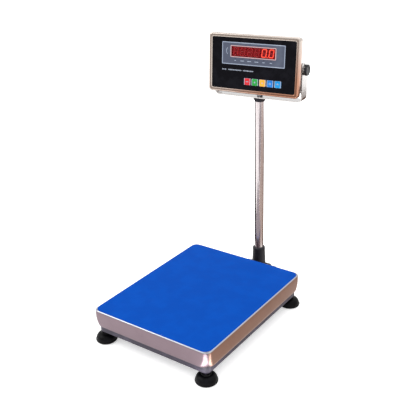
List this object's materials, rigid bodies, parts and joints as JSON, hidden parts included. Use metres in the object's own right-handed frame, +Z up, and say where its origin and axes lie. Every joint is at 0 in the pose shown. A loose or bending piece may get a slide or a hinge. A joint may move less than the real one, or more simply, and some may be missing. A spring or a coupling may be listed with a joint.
{
  "type": "bench scale",
  "caption": "Platform bench scale: steel weighing pan on a load cell frame with levelling feet, and an indicator head with display and keys on a rear post.",
  "frame": {"origin": "on the floor, in the middle of the whole outline", "axes": "+Z up, +X to the operator's right, +Y to the back, where the post stands"},
  "size_m": [0.317, 0.4934, 0.6151],
  "materials": {
    "frame_paint": "satin powder coat",
    "pan_steel": "brushed",
    "film": "smooth protective film",
    "post_steel": "polished tube",
    "bracket_steel": "brushed",
    "black_paint": "satin powder coat",
    "foot_rubber": "matte",
    "bumper_rubber": "matte",
    "zinc": "zinc plated",
    "dark_zinc": "black zinc plated",
    "cell_aluminium": "machined",
    "spacer_steel": "ground",
    "head_steel": "fine brushed",
    "bezel_steel": "polished",
    "panel_film": "smooth printed film",
    "label_film": "smooth printed film",
    "window_red": "tinted",
    "display_dark": "dark red digit blocks",
    "board_green": "coated circuit board",
    "brass_nickel": "turned",
    "battery_case": "moulded case",
    "black_plastic": "moulded",
    "level_case": "moulded",
    "level_fluid": "clear cap over tinted fluid",
    "key_red": "smooth",
    "key_green": "smooth",
    "key_amber": "smooth",
    "key_blue": "smooth",
    "key_cyan": "smooth"
  },
  "bodies": {
    "base": {"base_frame": "frame_paint", "foot_bosses": "zinc", "foot_lock_nuts": "dark_zinc", "load_cell": "cell_aluminium", "lower_spacer": "spacer_steel", "upper_spacer": "spacer_steel", "lower_cell_bolts": "zinc", "upper_cell_bolts": "zinc", "deck_frame": "frame_paint", "pan_bumpers": "bumper_rubber", "stop_screws": "zinc", "stop_nuts": "zinc", "rear_bracket": "frame_paint", "bracket_bolts": "zinc", "level_body": "level_case", "level_window": "level_fluid", "post_socket": "black_paint", "socket_bolts": "zinc", "clamp_screws": "black_paint", "post_tube": "post_steel"},
    "platform": {"pan": "pan_steel", "protective_film": "film"},
    "foot_front_left": {"foot_pad_front_left": "foot_rubber", "foot_stud_front_left": "dark_zinc"},
    "foot_front_right": {"foot_pad_front_right": "foot_rubber", "foot_stud_front_right": "dark_zinc"},
    "foot_rear_left": {"foot_pad_rear_left": "foot_rubber", "foot_stud_rear_left": "dark_zinc"},
    "foot_rear_right": {"foot_pad_rear_right": "foot_rubber", "foot_stud_rear_right": "dark_zinc"},
    "swivel": {"swivel_collar": "black_paint", "u_bracket": "bracket_steel", "swivel_screw": "zinc", "knob_washers": "bracket_steel"},
    "head": {"front_bezel": "bezel_steel", "front_panel": "panel_film", "display_label": "label_film", "display_window": "window_red", "display_module": "display_dark", "key_board": "board_green", "main_board": "board_green", "board_standoffs": "brass_nickel", "panel_pillars": "zinc", "housing_gasket": "bumper_rubber", "rear_housing": "head_steel", "housing_screws": "zinc", "battery": "battery_case", "battery_strap": "zinc", "cable_glands": "black_plastic", "gland_nuts": "black_plastic", "pivot_bushes": "zinc", "pivot_washers": "black_plastic"},
    "knob_left": {"knob_left": "black_plastic"},
    "knob_right": {"knob_right": "black_plastic"},
    "key_1": {"key_1": "key_red"},
    "key_2": {"key_2": "key_green"},
    "key_3": {"key_3": "key_amber"},
    "key_4": {"key_4": "key_blue"},
    "key_5": {"key_5": "key_cyan"}
  },
  "joints": [
    {"name": "platform_lift", "type": "slide", "parent": "base", "child": "platform", "axis": [0, 0, 1], "range_m": [0, 0.08]},
    {"name": "foot_front_left_height", "type": "slide", "parent": "base", "child": "foot_front_left", "axis": [0, 0, 1], "range_m": [-0.01, 0]},
    {"name": "foot_front_right_height", "type": "slide", "parent": "base", "child": "foot_front_right", "axis": [0, 0, 1], "range_m": [-0.01, 0]},
    {"name": "foot_rear_left_height", "type": "slide", "parent": "base", "child": "foot_rear_left", "axis": [0, 0, 1], "range_m": [-0.01, 0]},
    {"name": "foot_rear_right_height", "type": "slide", "parent": "base", "child": "foot_rear_right", "axis": [0, 0, 1], "range_m": [-0.01, 0]},
    {"name": "swivel_turn", "type": "hinge", "parent": "base", "child": "swivel", "pos_m": [0, 0.20503, 0.54], "axis": [0, 0, 1], "range_deg": [-96, 84]},
    {"name": "head_tilt", "type": "hinge", "parent": "swivel", "child": "head", "pos_m": [0, 0.20503, 0.54], "axis": [-0.9945, -0.1045, 0], "range_deg": [-15, 36]},
    {"name": "knob_left_turn", "type": "hinge", "parent": "head", "child": "knob_left", "pos_m": [-0.10815, 0.19366, 0.54], "axis": [-0.9945, -0.1045, 0], "range_deg": [0, 540]},
    {"name": "knob_right_turn", "type": "hinge", "parent": "head", "child": "knob_right", "pos_m": [0.10815, 0.2164, 0.54], "axis": [0.9945, 0.1045, 0], "range_deg": [0, 540]},
    {"name": "key_1_press", "type": "slide", "parent": "head", "child": "key_1", "axis": [-0.1043, 0.9921, -0.0698], "range_m": [0, 0.0008], "stiffness_N_per_m": 1500, "springref_m": -0.0004},
    {"name": "key_2_press", "type": "slide", "parent": "head", "child": "key_2", "axis": [-0.1043, 0.9921, -0.0698], "range_m": [0, 0.0008], "stiffness_N_per_m": 1500, "springref_m": -0.0004},
    {"name": "key_3_press", "type": "slide", "parent": "head", "child": "key_3", "axis": [-0.1043, 0.9921, -0.0698], "range_m": [0, 0.0008], "stiffness_N_per_m": 1500, "springref_m": -0.0004},
    {"name": "key_4_press", "type": "slide", "parent": "head", "child": "key_4", "axis": [-0.1043, 0.9921, -0.0698], "range_m": [0, 0.0008], "stiffness_N_per_m": 1500, "springref_m": -0.0004},
    {"name": "key_5_press", "type": "slide", "parent": "head", "child": "key_5", "axis": [-0.1043, 0.9921, -0.0698], "range_m": [0, 0.0008], "stiffness_N_per_m": 1500, "springref_m": -0.0004}
  ]
}
